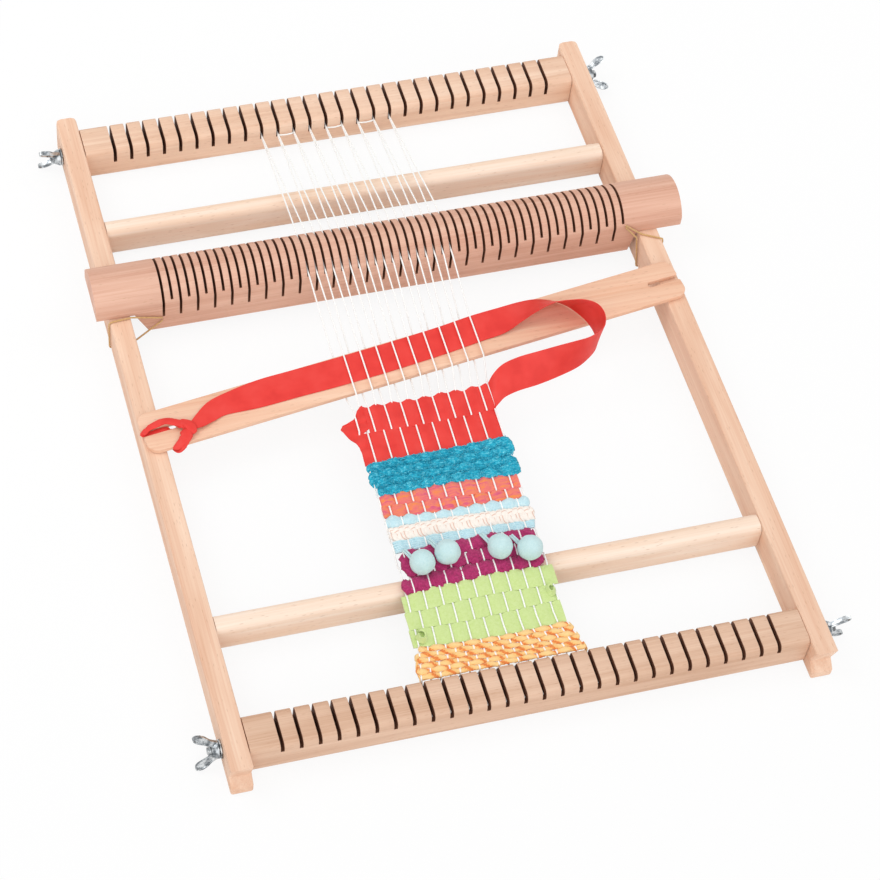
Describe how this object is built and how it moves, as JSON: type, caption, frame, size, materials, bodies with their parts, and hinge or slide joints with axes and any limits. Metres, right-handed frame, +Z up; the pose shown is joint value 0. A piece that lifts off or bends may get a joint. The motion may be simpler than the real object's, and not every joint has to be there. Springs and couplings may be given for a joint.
{
  "type": "frame loom",
  "caption": "Tabletop frame loom of plain beech: kerfed warp beams held by wing nuts, a tipping heddle bar with elastic bands, a stick shuttle, a warp and a started striped weaving",
  "frame": {"origin": "On the table, midway between the two rails and midway along them", "axes": "+X is the weaver's right, +Y runs from the weaver's end to the back beam, +Z is up"},
  "size_m": [0.4544, 0.58, 0.0484],
  "materials": {
    "beech": "sanded, clear satin oil",
    "pale_beech": "sanded, matt",
    "pink_beech": "sanded, clear satin oil",
    "zinc": "bright zinc plate",
    "elastic": "matt",
    "white_cotton": "twisted cotton",
    "red_ribbon": "soft woven ribbon",
    "teal_yarn": "fluffy wool",
    "coral_yarn": "wool",
    "pale_blue_yarn": "wool",
    "cream_yarn": "braided yarn",
    "magenta_yarn": "lumpy wool",
    "green_felt": "felt strip",
    "yellow_yarn": "flecked wool",
    "pompom_yarn": "fluffy pile"
  },
  "bodies": {
    "frame": {"left_rail": "beech", "right_rail": "beech", "front_cross_bar": "pale_beech", "back_cross_bar": "pale_beech", "front_bar_dowel_1": "pale_beech", "front_bar_dowel_2": "pale_beech", "front_bar_dowel_3": "pale_beech", "front_bar_dowel_4": "pale_beech", "back_bar_dowel_1": "pale_beech", "back_bar_dowel_2": "pale_beech", "back_bar_dowel_3": "pale_beech", "back_bar_dowel_4": "pale_beech", "front_left_washer": "zinc", "front_right_washer": "zinc", "back_left_washer": "zinc", "back_right_washer": "zinc", "left_band": "elastic", "right_band": "elastic", "warp_1": "white_cotton", "warp_2": "white_cotton", "warp_3": "white_cotton", "warp_4": "white_cotton", "warp_5": "white_cotton", "warp_6": "white_cotton", "warp_7": "white_cotton", "warp_8": "white_cotton", "warp_9": "white_cotton", "warp_10": "white_cotton", "red_rows": "red_ribbon", "teal_row": "teal_yarn", "coral_rows": "coral_yarn", "pale_blue_row": "pale_blue_yarn", "cream_braid": "cream_yarn", "pompom_cord": "pale_blue_yarn", "magenta_row": "magenta_yarn", "green_rows": "green_felt", "yellow_rows": "yellow_yarn", "pompom_1": "pompom_yarn", "pompom_2": "pompom_yarn", "pompom_3": "pompom_yarn", "pompom_4": "pompom_yarn"},
    "front_beam": {"front_beam": "beech", "front_left_bolt": "zinc", "front_right_bolt": "zinc"},
    "back_beam": {"back_beam": "beech", "back_left_bolt": "zinc", "back_right_bolt": "zinc"},
    "front_left_nut": {"front_left_wing_nut": "zinc"},
    "front_right_nut": {"front_right_wing_nut": "zinc"},
    "back_left_nut": {"back_left_wing_nut": "zinc"},
    "back_right_nut": {"back_right_wing_nut": "zinc"},
    "heddle_bar": {"heddle_bar": "pink_beech"},
    "shuttle": {"shuttle": "pale_beech", "ribbon_tie": "red_ribbon", "red_ribbon": "red_ribbon"}
  },
  "joints": [
    {"name": "front_beam_turn", "type": "hinge", "parent": "frame", "child": "front_beam", "pos_m": [0, -0.2625, 0.0135], "axis": [1, 0, 0], "range_deg": [-45, 45], "deforming": ["warp_1", "warp_2", "warp_3", "warp_4", "warp_5", "warp_6", "warp_7", "warp_8", "warp_9", "warp_10"]},
    {"name": "back_beam_turn", "type": "hinge", "parent": "frame", "child": "back_beam", "pos_m": [0, 0.2645, 0.0135], "axis": [1, 0, 0], "range_deg": [-45, 45], "deforming": ["warp_1", "warp_2", "warp_3", "warp_4", "warp_5", "warp_6", "warp_7", "warp_8", "warp_9", "warp_10"]},
    {"name": "front_left_nut_turn", "type": "hinge", "parent": "front_beam", "child": "front_left_nut", "pos_m": [-0.21, -0.2625, 0.0135], "axis": [-1, 0, 0], "range_deg": [0, 720]},
    {"name": "front_right_nut_turn", "type": "hinge", "parent": "front_beam", "child": "front_right_nut", "pos_m": [0.21, -0.2625, 0.0135], "axis": [1, 0, 0], "range_deg": [0, 720]},
    {"name": "back_left_nut_turn", "type": "hinge", "parent": "back_beam", "child": "back_left_nut", "pos_m": [-0.21, 0.2645, 0.0135], "axis": [-1, 0, 0], "range_deg": [0, 720]},
    {"name": "back_right_nut_turn", "type": "hinge", "parent": "back_beam", "child": "back_right_nut", "pos_m": [0.21, 0.2645, 0.0135], "axis": [1, 0, 0], "range_deg": [0, 720]},
    {"name": "heddle_tilt", "type": "hinge", "parent": "frame", "child": "heddle_bar", "pos_m": [0, 0.0907, 0.0273], "axis": [1, 0, 0], "range_deg": [0, 45], "deforming": ["left_band", "right_band", "warp_1", "warp_2", "warp_3", "warp_4", "warp_5", "warp_6", "warp_7", "warp_8", "warp_9", "warp_10"]},
    {"name": "shuttle_slide", "type": "slide", "parent": "frame", "child": "shuttle", "axis": [0.9906, 0.1368, 0], "range_m": [-0.15, 0.27], "deforming": ["red_ribbon", "ribbon_tie"]}
  ]
}
